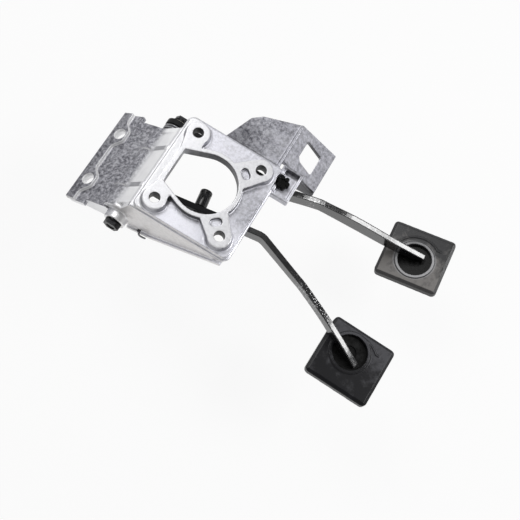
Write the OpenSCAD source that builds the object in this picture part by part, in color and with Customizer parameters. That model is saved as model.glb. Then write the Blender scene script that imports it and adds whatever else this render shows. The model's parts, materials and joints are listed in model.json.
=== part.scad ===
// Pedal box of a road vehicle: a die-cast bracket that carries a brake pedal and a clutch
// pedal on one cross shaft. The origin is the centre of the four brake-servo stud holes, on
// the machined boss faces. +Z leaves the flange towards the servo, +X runs from the pivot
// towards the pedal pads and +Y runs along the pivot shaft, from the brake to the clutch.

/* [Servo flange] */
// Stud spacing along the pedals
servo_pitch_x = 64; // [60:0.5:70]
// Stud spacing along the pivot shaft
servo_pitch_y = 72; // [68:0.5:78]
// Diameter of each stud hole
stud_hole_d = 9.4; // [8.4:0.1:10.4]
// Diameter of each stud boss at its machined face
boss_d = 21; // [18:0.5:23]
// Widening of a boss from its face to its foot
boss_draft = 1.5; // [0.5:0.25:2.5]
// Height of the bosses and lands over the flange panel
boss_rise = 6.5; // [5:0.5:8]
// Thickness of the flange panel
panel_t = 4.5; // [4:0.5:6]
// Flange beyond the studs, on the pivot side
edge_pivot = 16; // [13:0.5:18]
// Flange beyond the studs, on the pedal side
edge_pedal = 17; // [14:0.5:20]
// Flange beyond the studs, on the brake side
edge_near = 15; // [13:0.5:18]
// Flange beyond the studs, on the clutch side
edge_far = 16; // [14:0.5:20]
// Corner radius of the flange
flange_corner_r = 7; // [3:0.5:10]
// Step round the flange edge
edge_step = 2; // [1:0.25:2.5]

/* [Servo opening] */
// Radius of the round part of the opening
opening_r = 28; // [24:0.5:30]
// Distance from the servo axis to the flat side of the opening
opening_flat = 34; // [31:0.5:36]
// Length of the flat side
opening_flat_len = 35; // [25:0.5:40]
// Width of the raised ring round the opening
ring_w = 4; // [3:0.25:5]
// Width of a pedal-side land where it leaves the ring
land_w = 25; // [20:0.5:28]
// Length and width of the core pocket in a pedal-side land
core_pocket = [11, 7];
// Depth of the core pocket
core_pocket_depth = 3; // [1:0.5:5]

/* [Pivot] */
// Distance from the servo axis back to the pivot axis
pivot_back = 57.5; // [54:0.5:62]
// Distance from the boss faces down to the pivot axis
pivot_drop = 45.5; // [42:0.5:50]
// Diameter of the pivot bolt
bolt_d = 8; // [6:0.5:9]
// Outer diameter of the distance tube that the bolt clamps
tube_d = 12; // [11:0.5:13]
// Wall of a pedal bush
bush_wall = 1.5; // [1:0.25:2]
// Wall of a pedal hub
hub_wall = 2; // [1.5:0.25:2.5]
// Length of a brake bush inside its hub
bush_len = 12; // [8:0.5:15]
// Radius of the boss round the bolt, outside each cheek
pivot_boss_r = 10; // [9.5:0.25:12]
// Inner radius of the shaft tunnel
tunnel_r = 13.5; // [13.25:0.25:14.5]
// Wall of the shaft tunnel
tunnel_wall = 3; // [2.5:0.25:4]
// Distance from the servo axis to the inside of the brake-side cheek
near_inner = 46; // [44:0.5:48]
// Distance from the servo axis to the inside of the clutch-side cheek
far_inner = 31; // [30.5:0.5:33]
// Thickness of both cheeks
cheek_t = 5; // [4:0.5:6]
// Length of the brake-side pivot boss outside its cheek
near_boss_len = 8.5; // [6:0.5:11]
// Length of the clutch-side pivot boss outside its cheek
far_boss_len = 1; // [0.5:0.25:1.5]
// Lip along the lower edge of the brake-side cheek
lip_w = 3.5; // [2:0.5:4.5]

/* [Dash plate] */
// Distance from the pivot axis back to the outer edge
dash_back = 52; // [46:0.5:58]
// Drop of the outer edge below the pivot axis
dash_drop = 12.5; // [8:0.5:16]
// Tilt of the dash plate
dash_tilt = 29; // [22:0.5:34]
// Length of the dash plate along the shaft
dash_len = 99.5; // [92:0.5:104]
// Middle of the dash plate along the shaft
dash_mid = -8.3; // [-12:0.1:-5]
// Spacing of the two dash holes
dash_pitch = 53; // [45:0.5:60]
// Diameter of each dash hole
dash_hole_d = 11; // [8.4:0.1:12]
// Distance from the outer edge to the hole centres
dash_hole_in = 10.2; // [9:0.1:12]
// Width of the raised strip along the outer edge, between the holes
strip_w = 9.5; // [8:0.5:12]
// Distance from the outer edge to the narrower inner part
dash_step_in = 20; // [18.5:0.5:24]
// Set-back of the inner part at the brake end
dash_inset_near = 4.5; // [2:0.25:6]
// Set-back of the inner part at the clutch end
dash_inset_far = 2.25; // [1:0.25:4]
// Flare of the outer part at the clutch end
dash_flare = 3.5; // [0:0.25:4]
// Height of the raised strip
strip_rise = 3.5; // [2:0.5:5]
// Thickness of the dash plate
dash_t = 4.5; // [3.5:0.5:6]

/* [Clutch wing] */
// Reach of the wing beyond the flange edge
wing_reach = 48; // [40:0.5:54]
// Drop of the wing surface below the boss faces
wing_drop = 10; // [8.5:0.5:11.5]
// Distance from the servo axis to the bend of the wing
wing_bend = 42; // [40:0.5:46]
// Thickness of the wing
wing_t = 5; // [4:0.5:6]
// Length of the sloped end plate along the pedals
end_len = 39; // [34:0.5:44]
// Height lost over the sloped end plate
end_fall = 37; // [30:0.5:42]
// Window in the end plate, along the pedals and along the shaft
window = [17, 21];
// Chamfer of the window corner nearest the bend and the pocket
window_chamfer = 3; // [1:0.5:5]

/* [Stop pocket] */
// Length of the pocket along the pedals
pocket_len = 17; // [15.5:0.5:20]
// Width of the pocket along the shaft
pocket_w = 31; // [26:0.5:36]
// Depth of the pocket below its rim
pocket_depth = 6; // [5:0.5:6.5]
// Wall of the pocket
pocket_wall = 2.5; // [2:0.25:3.5]
// Distance from the servo axis to the middle of the pocket
pocket_mid = 42; // [40:0.5:44]
// Diameter of the star head of the stop buffer
buffer_d = 13; // [10:0.5:14]

/* [Pedals] */
// Thickness of both pedal arms
arm_t = 5.5; // [5:0.5:7]
// Depth of both pedal arms at the hub
arm_depth = 22; // [18:0.5:24]
// Brake arm middle at its hub, along the shaft
brake_arm_y = -14; // [-17:0.5:-12]
// Clutch arm middle at its hub, along the shaft
clutch_arm_y = 49.25; // [48.75:0.25:50]
// Diameter of the push-rod pin
pin_d = 11.5; // [8:0.5:13]
// Length of the push-rod pin beyond its arm
pin_len = 18; // [14:0.5:21]
// Distance from the servo axis out to the middle of the brake pad
brake_reach = 188; // [182:0.5:194]
// Distance from the servo axis to the middle of the brake pad, on the brake side
brake_side = 50; // [47:0.5:53]
// Drop of the back of the brake pad below the boss faces
brake_drop = 66; // [63:0.5:69]
// Distance from the servo axis out to the middle of the clutch pad
clutch_reach = 198; // [192:0.5:204]
// Distance from the servo axis to the middle of the clutch pad, on the clutch side
clutch_side = 82.8; // [80:0.1:86]
// Drop of the back of the clutch pad below the boss faces
clutch_drop = 91; // [88:0.5:94]
// Upward tilt of the clutch pad
clutch_pad_tilt = 13.6; // [8:0.1:18]
// Turn of the clutch pad in its own plane
clutch_pad_turn = 4; // [0:0.5:8]
// Turn of the brake pad in its own plane
brake_pad_turn = -2; // [-6:0.5:4]

/* [Pads] */
// Length of a pad along the pedals
pad_x = 64; // [56:0.5:70]
// Width of a pad along the shaft
pad_y = 60; // [56:0.5:66]
// Thickness of a pad without its grip bars
pad_t = 11; // [9:0.5:14]
// Corner radius of a pad
pad_corner_r = 4.5; // [4:0.5:9]
// Middle of the opening in the brake pad, from the middle of the pad
brake_opening = [-4.5, 6];
// Middle of the opening in the clutch pad, from the middle of the pad
clutch_opening = [0.5, -3.5];
// Radius of the round opening in the back of a pad
pad_opening_r = 16.5; // [14:0.5:18]
// Thickness of the rubber lip over the foot plate
pad_lip_t = 3; // [2:0.25:4]
// Width of the rubber round the foot plate
pad_wall = 5; // [4:0.5:7]
// Thickness of the steel foot plate
foot_t = 3; // [2:0.25:4]
// Number of grip bars on the face of a pad
grip_bars = 6; // [4:1:8]

/* [Springs] */
// Wire diameter of both return springs
wire_d = 2; // [1.5:0.1:2.2]
// Turns of the brake return spring
spring_turns = 5; // [4:1:6]
// Coil length of the brake return spring
spring_len = 15; // [12:0.5:16]

/* [Hidden] */
$fn = 48;

// Clearances
fit_gap = 0.02;
run_gap = 0.05;
side_gap = 0.25;
pad_gap = 0.4;
over = 1;
deep = 200;

// Flange planes and edges
panel_top = -boss_rise;
panel_low = -boss_rise - panel_t;
flange_x0 = -servo_pitch_x / 2 - edge_pivot;
flange_x1 = servo_pitch_x / 2 + edge_pedal;
flange_y0 = -servo_pitch_y / 2 - edge_near;
flange_y1 = servo_pitch_y / 2 + edge_far;
opening_at = [-2, -1];
studs = [for (sx = [-1, 1], sy = [-1, 1]) [sx * servo_pitch_x / 2, sy * servo_pitch_y / 2]];

// Pivot stack, from the bolt outwards and along the shaft
pivot_x = -pivot_back;
pivot_z = -pivot_drop;
tunnel_out = tunnel_r + tunnel_wall;
bush_d = tube_d + 2 * run_gap + 2 * bush_wall;
hub_d = bush_d + 2 * fit_gap + 2 * hub_wall;
bush_flange_t = 1;
bush_flange_r = hub_d / 2;
thrust_t = 1.5;
near_face = -near_inner - cheek_t - near_boss_len;
far_face = far_inner + cheek_t + far_boss_len;
brake_hub_y0 = -near_inner + thrust_t + bush_flange_t + 2 * side_gap;
brake_hub_y1 = far_inner - thrust_t - bush_flange_t - 2 * side_gap;
clutch_hub_y0 = far_face + thrust_t + bush_flange_t + 2 * side_gap;
clutch_hub_y1 = clutch_arm_y + arm_t / 2;
clutch_bush_len = (clutch_hub_y1 - clutch_hub_y0) / 2 - side_gap;
sleeve_end = clutch_hub_y1 + bush_flange_t + side_gap;
washer_t = 1.5;
washer_r = 8.5;
head_flange_r = 7.6;
head_flange_t = 1.5;
hex_flats = 13;
head_h = 4;
head_dish = 0.8;
head_dish_r = 4.2;
nut_h = 4.5;
bolt_overhang = 0.5;
bolt_gap = 0.2;

// Wing, pocket and pads
wing_z = -wing_drop;
end_x = wing_bend + end_len;
end_z = wing_z - end_fall;
end_near = pocket_mid + pocket_w / 2 + 8;
window_mid = [wing_bend + end_len / 2 - 0.5, flange_y1 + 32];
pocket_x1 = flange_x1 + pocket_len;
pocket_floor_t = 3;
pocket_rim = wing_z;
pocket_low = pocket_rim - pocket_depth - pocket_floor_t;
buffer_at = [flange_x1 + 4, pocket_mid];
pocket_x0 = flange_x1 - edge_step + 0.5;
pocket_rib = [1.3, 5];
buffer_stem_d = 5;
brake_pad_at = [brake_reach, -brake_side, -brake_drop];
clutch_pad_at = [clutch_reach, clutch_side, -clutch_drop];
foot_top = -pad_lip_t;
foot_low = foot_top - foot_t;
spring_r = hub_d / 2 + wire_d / 2 + 0.4;
hook_at = [pivot_x + 22.5, pivot_z - 7];
hook_tail = [9, 2];
coil_lead = 70;
hook_hole_d = wire_d + 1.4;
leg_gap = 0.3;
pin_shank_d = pin_d - 3;
pin_chamfer = 1;
rim_w = 3;
rim_h = 1;
pad_bevel = [3, 1.6];
ridge_r = 24.4;
ridge_w = 1.2;
ridge_h = 0.7;
ridge_from = 46;
ridge_to = 148;
ridge_flare = 4;
dish_r = 7;
dish_depth = 1.2;

// Vector helpers
function unit(v) = v / norm(v);
function turned(v, a) = [v.x * cos(a) - v.y * sin(a), v.x * sin(a) + v.y * cos(a)];
function left_of(v) = [-v.y, v.x];
function reversed(list) = [for (i = [len(list) - 1:-1:0]) list[i]];

// Point on the smooth curve through p1 and p2, with p0 and p3 as its neighbours
function curve_point(p0, p1, p2, p3, t) =
    0.5 * (2 * p1 + (p2 - p0) * t + (2 * p0 - 5 * p1 + 4 * p2 - p3) * t * t
    + (3 * p1 - p0 - 3 * p2 + p3) * t * t * t);

// Smooth curve through a list of stations
function curve_through(p, steps) = [
    for (i = [0:len(p) - 2])
        for (k = [0:steps - 1])
            curve_point(p[max(i - 1, 0)], p[i], p[i + 1], p[min(i + 2, len(p) - 1)], k / steps),
    p[len(p) - 1]
];

// Points of a round bend of radius r at corner b between a and c
function bend_points(a, b, c, r, steps) =
    let (u = unit(b - a))
    let (v = unit(c - b))
    let (side = sign(u.x * v.y - u.y * v.x))
    let (turn = acos(u * v))
    let (start = b - u * r * tan(turn / 2))
    let (arm = -left_of(u) * side * r)
    [for (k = [0:steps]) start - arm + turned(arm, side * turn * k / steps)];

// Path with every inner corner rounded to radius r
function bent_path(p, r, steps) = concat(
    [p[0]],
    [for (i = [1:len(p) - 2]) each bend_points(p[i - 1], p[i], p[i + 1], r, steps)],
    [p[len(p) - 1]]
);

function path_tangent(p, i) = unit(p[min(i + 1, len(p) - 1)] - p[max(i - 1, 0)]);

// Outline of a strip of the given width along a flat path
function strip_outline(p, width) = concat(
    [for (i = [0:len(p) - 1]) p[i] + left_of(path_tangent(p, i)) * width / 2],
    [for (i = [len(p) - 1:-1:0]) p[i] - left_of(path_tangent(p, i)) * width / 2]
);

// Normals carried along a path in space without twist
function carried_normals(p, n, i = 0) =
    i == len(p) ? [] :
    let (t = path_tangent(p, i))
    let (m = unit(n - t * (n * t)))
    concat([m], carried_normals(p, m, i + 1));

// Point on circle (c, r) where a line from p touches it, on the given side
function touch_point(p, c, r, side) =
    let (d = norm(p - c))
    c + r * turned(unit(p - c), side * acos(r / d));

// Round wire along a path in space
module wire(path, d, sides = 8) {
    normals = carried_normals(path, [0.1, 0.2, 1]);
    points = [
        for (i = [0:len(path) - 1])
            for (k = [0:sides - 1])
                path[i] + d / 2 * (normals[i] * cos(360 * k / sides)
                + cross(path_tangent(path, i), normals[i]) * sin(360 * k / sides))
    ];
    last = (len(path) - 1) * sides;
    faces = concat(
        [[for (k = [0:sides - 1]) k]],
        [[for (k = [sides - 1:-1:0]) last + k]],
        [for (i = [0:len(path) - 2]) for (k = [0:sides - 1])
            [i * sides + k, (i + 1) * sides + k, (i + 1) * sides + (k + 1) % sides,
            i * sides + (k + 1) % sides]]
    );
    polyhedron(points, faces, convexity = 10);
}

// Side profile, drawn in X and Z, made solid from y0 to y1
module side_slab(y0, y1) {
    translate([0, y1, 0]) rotate([90, 0, 0]) linear_extrude(y1 - y0) children();
}

// Round bar along the shaft at the pivot axis
module on_pivot(y0, y1, r) {
    translate([pivot_x, y0, pivot_z]) rotate([-90, 0, 0]) cylinder(h = y1 - y0, r = r);
}

module pivot_ring(y0, y1, r_in, r_out) {
    difference() {
        on_pivot(y0, y1, r_out);
        on_pivot(y0 - over, y1 + over, r_in);
    }
}

module rounded_box_2d(x0, y0, x1, y1, r) {
    translate([x0 + r, y0]) square([x1 - x0 - 2 * r, y1 - y0]);
    translate([x0, y0 + r]) square([x1 - x0, y1 - y0 - 2 * r]);
    for (x = [x0 + r, x1 - r], y = [y0 + r, y1 - r]) translate([x, y]) circle(r);
}

module centred_box_2d(size, r) {
    rounded_box_2d(-size.x / 2, -size.y / 2, size.x / 2, size.y / 2, r);
}

// The servo opening: a circle that runs out in straight tangents to a flat side
module opening_2d(grow) {
    r = opening_r + grow;
    half = opening_flat_len / 2 + grow * tan(30);
    top = [-opening_flat - grow, half + opening_at.y];
    low = [-opening_flat - grow, opening_at.y - half];
    translate(opening_at) circle(r, $fn = 96);
    polygon([top, low, touch_point(low, opening_at, r, 1), touch_point(top, opening_at, r, -1)]);
}

// A pedal-side land from the ring straight out to its stud boss
module pedal_land_2d(stud) {
    along = unit(stud - opening_at);
    across = left_of(along);
    root = opening_at + along * (opening_r + ring_w / 2);
    polygon([
        stud + across * boss_d / 2, stud - across * boss_d / 2,
        root - across * land_w / 2, root + across * land_w / 2
    ]);
}

// A pivot-side land from the flat end of the ring along the shaft to its stud boss
module pivot_land_2d(stud) {
    root_y = sign(stud.y) * opening_flat_len / 2 + opening_at.y;
    polygon([
        stud + [-boss_d / 2, 0], stud + [boss_d / 2 - 1, 0],
        [stud.x + boss_d / 2 - 1, root_y], [-opening_flat - ring_w, root_y]
    ]);
}

// Shallow oval core pocket across a pedal-side land
module core_pocket_cut(stud) {
    along = unit(stud - opening_at);
    half = (core_pocket.x - core_pocket.y) / 2;
    at = opening_at + along * (opening_r + ring_w + core_pocket.y / 2 + 0.5);
    translate([at.x, at.y, -core_pocket_depth])
        rotate(atan2(along.y, along.x) + 90)
            linear_extrude(core_pocket_depth + over) {
                square([2 * half, core_pocket.y], center = true);
                for (s = [-1, 1]) translate([s * half, 0]) circle(core_pocket.y / 2);
            }
}

// Flange panel with its stepped edge, the ring, the lands and the stud bosses
module flange() {
    translate([0, 0, panel_low])
        linear_extrude(panel_t - edge_step)
            rounded_box_2d(flange_x0, flange_y0, flange_x1, flange_y1, flange_corner_r);
    translate([0, 0, panel_low])
        linear_extrude(panel_t)
            rounded_box_2d(
                flange_x0 + edge_step, flange_y0 + edge_step,
                flange_x1 - edge_step, flange_y1 - edge_step, flange_corner_r - edge_step);
    translate([0, 0, panel_top]) linear_extrude(boss_rise) {
        opening_2d(ring_w);
        for (stud = studs) {
            if (stud.x > 0) pedal_land_2d(stud);
            else pivot_land_2d(stud);
        }
    }
    for (stud = studs)
        translate([stud.x, stud.y, panel_top])
            cylinder(h = boss_rise, r1 = boss_d / 2 + boss_draft, r2 = boss_d / 2);
}

// Lower edge of the brake-side cheek, from the pedal side back to the pivot
near_edge = [
    [flange_x1 - 4, panel_low - 3],
    [pivot_x + 34.5, pivot_z - 6],
    [pivot_x + 10.5, pivot_z - 13.5]
];

// Height of the thicker field on the outside of the brake-side cheek
cheek_field = 0.8;

module near_cheek() {
    y_out = -near_inner - cheek_t;
    side_slab(y_out, -near_inner) {
        polygon(concat(
            [[flange_x0, panel_top - edge_step], [flange_x1 - 4, panel_top - edge_step]], near_edge,
            [[pivot_x, pivot_z - tunnel_r], [pivot_x, pivot_z + tunnel_r]]));
        translate([pivot_x, pivot_z]) circle(tunnel_out);
    }
    side_slab(y_out - cheek_field, y_out + over)
        polygon(concat(
            [[pivot_x + 8, pivot_z + 7.5], [pivot_x + 25.5, pivot_z + 18], [pivot_x + 38.5, panel_low - 1.5]],
            near_edge));
    side_slab(y_out - lip_w, y_out + over)
        polygon(concat(near_edge, reversed([for (p = near_edge) p + [-1, 3.5]])));
}

module far_cheek() {
    side_slab(far_inner, far_inner + cheek_t) {
        polygon([
            [flange_x0, panel_top - edge_step], [flange_x1 - 4, panel_top - edge_step],
            [flange_x1 - 4, panel_low - 2], [pivot_x + 33, panel_low - 2],
            [pivot_x + 18, pivot_z + 19.5], [pivot_x + 9, pivot_z + 13], [pivot_x - 9, pivot_z + 13]
        ]);
        translate([pivot_x, pivot_z]) circle(tunnel_out);
    }
}

// Half-round cover over the hubs, open towards the pedals
tunnel_open = [75, -100];

module tunnel_2d(r_in, r_out) {
    difference() {
        circle(r_out);
        circle(r_in);
        polygon([
            [0, 0], deep * [cos(tunnel_open[0]), sin(tunnel_open[0])], [deep, 0],
            deep * [cos(tunnel_open[1]), sin(tunnel_open[1])]
        ]);
    }
}

// Wall from the tunnel up to the flange edge, raised by the given amount
module back_wall_2d(raise) {
    foot = tunnel_out + raise;
    polygon([
        [pivot_x + foot * cos(105), pivot_z + foot * sin(105)],
        [flange_x0 - raise / 2, panel_top - edge_step],
        [flange_x0 + 5, panel_low + over],
        [pivot_x + tunnel_r * cos(tunnel_open[0]), pivot_z + tunnel_r * sin(tunnel_open[0])]
    ]);
}

rib_rise = 2;
rib_t = 4;
rib_pitch = 41;
rib_mid = -7.5;

module shaft_tunnel() {
    side_slab(-near_inner - over, far_inner + over) {
        translate([pivot_x, pivot_z]) tunnel_2d(tunnel_r, tunnel_out);
        back_wall_2d(0);
    }
    for (s = [-1, 1])
        side_slab(rib_mid + s * rib_pitch / 2 - rib_t / 2, rib_mid + s * rib_pitch / 2 + rib_t / 2) {
            translate([pivot_x, pivot_z]) tunnel_2d(tunnel_r, tunnel_out + rib_rise);
            back_wall_2d(rib_rise);
        }
}

// Frame of the tilted dash plate: x runs up the slope from the outer edge, z leaves its face
module dash_frame() {
    translate([pivot_x - dash_back, dash_mid, pivot_z - dash_drop])
        rotate([0, -dash_tilt, 0]) children();
}

dash_reach = (dash_back - tunnel_r) / cos(dash_tilt);
joggle_in = dash_hole_in - dash_hole_d / 2 - 1.5;
strip_t = strip_rise + 1;

// Smooth swelling of the strip round a hole, from 1 beside the hole to 0 away from it
swell_reach = [4, 15];
swell_wall = 1.6;
strip_steps = 50;

function hole_swell(t) =
    let (s = min(max((swell_reach[1] - abs(t)) / (swell_reach[1] - swell_reach[0]), 0), 1))
    s * s * (3 - 2 * s);

function strip_edge(y) =
    let (swell = dash_hole_in + dash_hole_d / 2 + swell_wall - strip_w)
    strip_w + swell * max(hole_swell(y - dash_pitch / 2), hole_swell(y + dash_pitch / 2));

// Outline of the raised strip
module strip_2d() {
    half = dash_len / 2;
    polygon(concat(
        [[0, -half]],
        [for (i = [0:strip_steps]) let (y = -half + dash_len * i / strip_steps) [strip_edge(y), y]],
        [[strip_w, half + dash_flare * strip_w / dash_step_in], [0, half]]
    ));
}

// Outline of the plate under and behind the strip
module plate_2d() {
    half = dash_len / 2;
    near_in = -half + dash_inset_near;
    far_in = half - dash_inset_far;
    polygon([
        [joggle_in, -half], [dash_step_in, -half], [dash_step_in, near_in], [dash_reach, near_in],
        [dash_reach, far_in], [dash_step_in, far_in], [dash_step_in, half + dash_flare],
        [joggle_in, half + dash_flare * joggle_in / dash_step_in]
    ]);
}

module dash_plate() {
    wall_y = dash_mid - dash_len / 2 + dash_inset_near;
    wall_t = 4;
    dash_frame() {
        translate([0, 0, -strip_rise - dash_t]) linear_extrude(dash_t) plate_2d();
        translate([0, 0, -strip_t]) linear_extrude(strip_t) strip_2d();
    }
    side_slab(wall_y, wall_y + wall_t)
        polygon([
            [pivot_x - 35, pivot_z - 21.5], [pivot_x - 33, pivot_z - 7.5], [pivot_x - 8.5, pivot_z + 5.5],
            [pivot_x - 4, pivot_z + 7.5], [pivot_x - 4, pivot_z - 13.5]
        ]);
    side_slab(far_inner, far_inner + cheek_t)
        polygon([
            [pivot_x - 33, pivot_z - 16], [pivot_x - 27, pivot_z - 7],
            [pivot_x, pivot_z], [pivot_x, pivot_z - tunnel_out]
        ]);
}

// Wing beside the flange with its sloped end plate
module wing() {
    y0 = flange_y1 - edge_step - over;
    y1 = flange_y1 + wing_reach;
    translate([0, 0, wing_z - wing_t])
        linear_extrude(wing_t)
            polygon([
                [wing_bend - 55, y0], [wing_bend - 43.5, y1 - 20], [wing_bend - 35, y1 - 12.5],
                [wing_bend, y1], [wing_bend, y0]
            ]);
    intersection() {
        side_slab(y0, y1 + deep)
            polygon([
                [wing_bend - over, wing_z], [wing_bend, wing_z], [end_x, end_z],
                [end_x, end_z - wing_t - over], [wing_bend - over, wing_z - wing_t - over]
            ]);
        translate([0, 0, -deep])
            linear_extrude(deep)
                polygon([
                    [wing_bend - over, end_near - 6], [wing_bend - over, y1], [end_x, y1 + 9.5],
                    [end_x, end_near]
                ]);
    }
    side_slab(end_near, end_near + 4)
        polygon([
            [wing_bend - 6, wing_z - wing_t], [wing_bend, wing_z - over], [end_x, end_z - over],
            [end_x, end_z - wing_t - 2 * over], [wing_bend + 6, wing_z - 22]
        ]);
    translate([wing_bend, y0 + 3, wing_z])
        rotate([-90, 0, 0]) cylinder(h = wing_reach - 2, r = 1.5);
}

module window_cut() {
    w = window / 2;
    c = window_chamfer;
    s = 1;
    translate([window_mid.x, window_mid.y, -deep])
        linear_extrude(deep)
            polygon([
                [-w.x + c, -w.y], [w.x - s, -w.y], [w.x, -w.y + s], [w.x, w.y - s],
                [w.x - s, w.y], [-w.x + s, w.y], [-w.x, w.y - s], [-w.x, -w.y + c]
            ]);
}

// Box on the flange edge that holds the clutch stop buffer
module stop_pocket() {
    translate([flange_x1 - edge_step - over, pocket_mid - pocket_w / 2, pocket_low])
        cube([pocket_len + edge_step + over, pocket_w, pocket_rim - pocket_low]);
}

// Hollow of the stop pocket, which leaves a low rib beside the flange, and the hole for the buffer
module pocket_cut() {
    floor_z = pocket_rim - pocket_depth;
    inner_w = pocket_w - 2 * pocket_wall;
    difference() {
        translate([pocket_x0, pocket_mid - inner_w / 2, floor_z])
            cube([pocket_x1 - pocket_wall - pocket_x0, inner_w, deep]);
        translate([flange_x1, pocket_mid - pocket_w / 2, floor_z - over])
            cube([pocket_rib.x, pocket_w, pocket_rib.y + over]);
    }
    translate([buffer_at.x, buffer_at.y, floor_z])
        cylinder(h = deep, d = buffer_d + 2 * pad_gap);
    translate([buffer_at.x, buffer_at.y, pocket_low - over])
        cylinder(h = pocket_floor_t + 2 * over, d = buffer_stem_d + 2 * fit_gap);
}

module bracket_casting() {
    color("gainsboro")
        difference() {
            union() {
                flange();
                near_cheek();
                far_cheek();
                shaft_tunnel();
                dash_plate();
                wing();
                stop_pocket();
                on_pivot(near_face, -near_inner - over, pivot_boss_r);
                on_pivot(far_inner + over, far_face, pivot_boss_r);
            }
            translate([0, 0, panel_low - over])
                linear_extrude(panel_t + boss_rise + 2 * over) opening_2d(0);
            for (stud = studs)
                translate([stud.x, stud.y, panel_low - over])
                    cylinder(h = panel_t + boss_rise + 2 * over, d = stud_hole_d);
            for (i = [2, 3]) core_pocket_cut(studs[i]);
            on_pivot(-near_inner, far_inner, tunnel_r);
            on_pivot(far_face, sleeve_end, tunnel_r);
            on_pivot(near_face - over, far_face + over, bolt_d / 2 + bolt_gap);
            dash_frame()
                for (s = [-1, 1])
                    translate([dash_hole_in, s * dash_pitch / 2, -strip_rise - dash_t - over])
                        cylinder(h = strip_rise + dash_t + 2 * over, d = dash_hole_d);
            window_cut();
            pocket_cut();
            translate([hook_at.x, -near_inner + over, hook_at.y])
                rotate([90, 0, 0]) cylinder(h = cheek_t + lip_w + 2 * over, d = hook_hole_d);
        }
}

// Flanged hexagon seen along the shaft, with its flange at y = 0 and its body towards +Y
module flanged_hex(height) {
    rotate([-90, 0, 0]) {
        cylinder(h = head_flange_t, r = head_flange_r);
        cylinder(h = height, d = hex_flats / cos(30), $fn = 6);
    }
}

module pivot_bolt() {
    head_end = near_face - head_flange_t - head_h;
    color("dimgray")
        difference() {
            union() {
                on_pivot(near_face, sleeve_end + washer_t + nut_h + bolt_overhang, bolt_d / 2);
                translate([pivot_x, near_face, pivot_z])
                    mirror([0, 1, 0]) flanged_hex(head_flange_t + head_h);
            }
            on_pivot(head_end - over, head_end + head_dish, head_dish_r);
        }
}

module pivot_nut() {
    color("silver")
        difference() {
            translate([pivot_x, sleeve_end + washer_t, pivot_z]) flanged_hex(nut_h);
            on_pivot(sleeve_end, sleeve_end + washer_t + nut_h + over, bolt_d / 2 + fit_gap);
        }
}

module pivot_washer() {
    color("silver") pivot_ring(sleeve_end, sleeve_end + washer_t, bolt_d / 2 + bolt_gap, washer_r);
}

module distance_tube() {
    color("silver") pivot_ring(-near_inner, far_inner, bolt_d / 2 + bolt_gap, tube_d / 2);
}

// Short tube that carries the clutch hub outside its cheek
module clutch_sleeve() {
    color("silver") pivot_ring(far_face, sleeve_end, bolt_d / 2 + bolt_gap, tube_d / 2);
}

module thrust_washer(y) {
    color("silver") pivot_ring(y, y + thrust_t, tube_d / 2 + run_gap, hub_d / 2);
}

module near_thrust_washer() {
    thrust_washer(-near_inner + side_gap);
}

module middle_thrust_washer() {
    thrust_washer(far_inner - thrust_t - side_gap);
}

module far_thrust_washer() {
    thrust_washer(far_face + side_gap);
}

// Star-headed rubber buffer: head in the pocket, stem through its floor, dome below it
module clutch_stop_buffer() {
    dome_r = 6.5;
    dome_h = 2.5;
    lobe_r = 2;
    lobes = 6;
    color("black")
        translate([buffer_at.x, buffer_at.y, 0]) {
            translate([0, 0, pocket_low - dome_h]) {
                cylinder(h = dome_h, r1 = dome_r - 1.5, r2 = dome_r);
                cylinder(h = dome_h + pocket_floor_t + over, d = buffer_stem_d);
            }
            translate([0, 0, pocket_low + pocket_floor_t]) {
                cylinder(h = pocket_depth - 1.5, r = buffer_d / 2 - lobe_r);
                for (i = [0:lobes - 1])
                    rotate(360 * i / lobes)
                        translate([buffer_d / 2 - lobe_r, 0, 0]) cylinder(h = pocket_depth, r = lobe_r);
            }
        }
}

// Coil of a torsion spring round the shaft, from angle a0, with legs at both ends
function coil_path(y0, y1, turns, a0, a1) =
    let (steps = round(abs(turns) * 18))
    [for (k = [0:steps])
        let (a = a0 + (360 * turns + a1 - a0) * k / steps)
        [pivot_x + spring_r * cos(a), y0 + (y1 - y0) * k / steps, pivot_z + spring_r * sin(a)]];

brake_coil_y1 = brake_arm_y - arm_t / 2 - wire_d / 2 - 0.5;
clutch_turns = 2;
clutch_coil_y1 = clutch_arm_y - arm_t / 2 - wire_d / 2 - leg_gap;
coil_gap = 0.2;

module brake_return_spring() {
    y0 = brake_coil_y1 - spring_len;
    out = -near_inner - cheek_t - lip_w - wire_d;
    leg = brake_upper[1] + [0, wire_d / 2 + leg_gap];
    color("gray")
        wire(concat(
            [[hook_at.x + hook_tail.x, out, hook_at.y + hook_tail.y], [hook_at.x + 2, out, hook_at.y],
            [hook_at.x, out + 1.5, hook_at.y], [hook_at.x, y0 - 2, hook_at.y],
            [hook_at.x - 2, y0, hook_at.y]],
            coil_path(y0, brake_coil_y1, spring_turns, -coil_lead, coil_lead),
            [[leg.x - 2, brake_coil_y1, leg.y], [leg.x, brake_coil_y1 + 2, leg.y],
            [leg.x, brake_arm_y + arm_t / 2, leg.y]]
        ), wire_d);
}

module clutch_return_spring() {
    y0 = clutch_coil_y1 - clutch_turns * (wire_d + coil_gap);
    leg = clutch_upper[1] + [0, wire_d / 2 + leg_gap];
    color("gray")
        wire(concat(
            [[pivot_x + spring_r, y0, panel_low - coil_gap], [pivot_x + spring_r, y0, pivot_z + 3]],
            coil_path(y0, clutch_coil_y1, -clutch_turns, 0, coil_lead),
            [[leg.x - 2, clutch_coil_y1, leg.y], [leg.x, clutch_coil_y1 + 2, leg.y],
            [leg.x, clutch_arm_y + arm_t / 2, leg.y]]
        ), wire_d);
}

// Frame of a pad: origin on the back face, z towards the servo side
module pad_frame(at, tilt, turn) {
    translate(at) rotate([0, -tilt, turn]) children();
}

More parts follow.
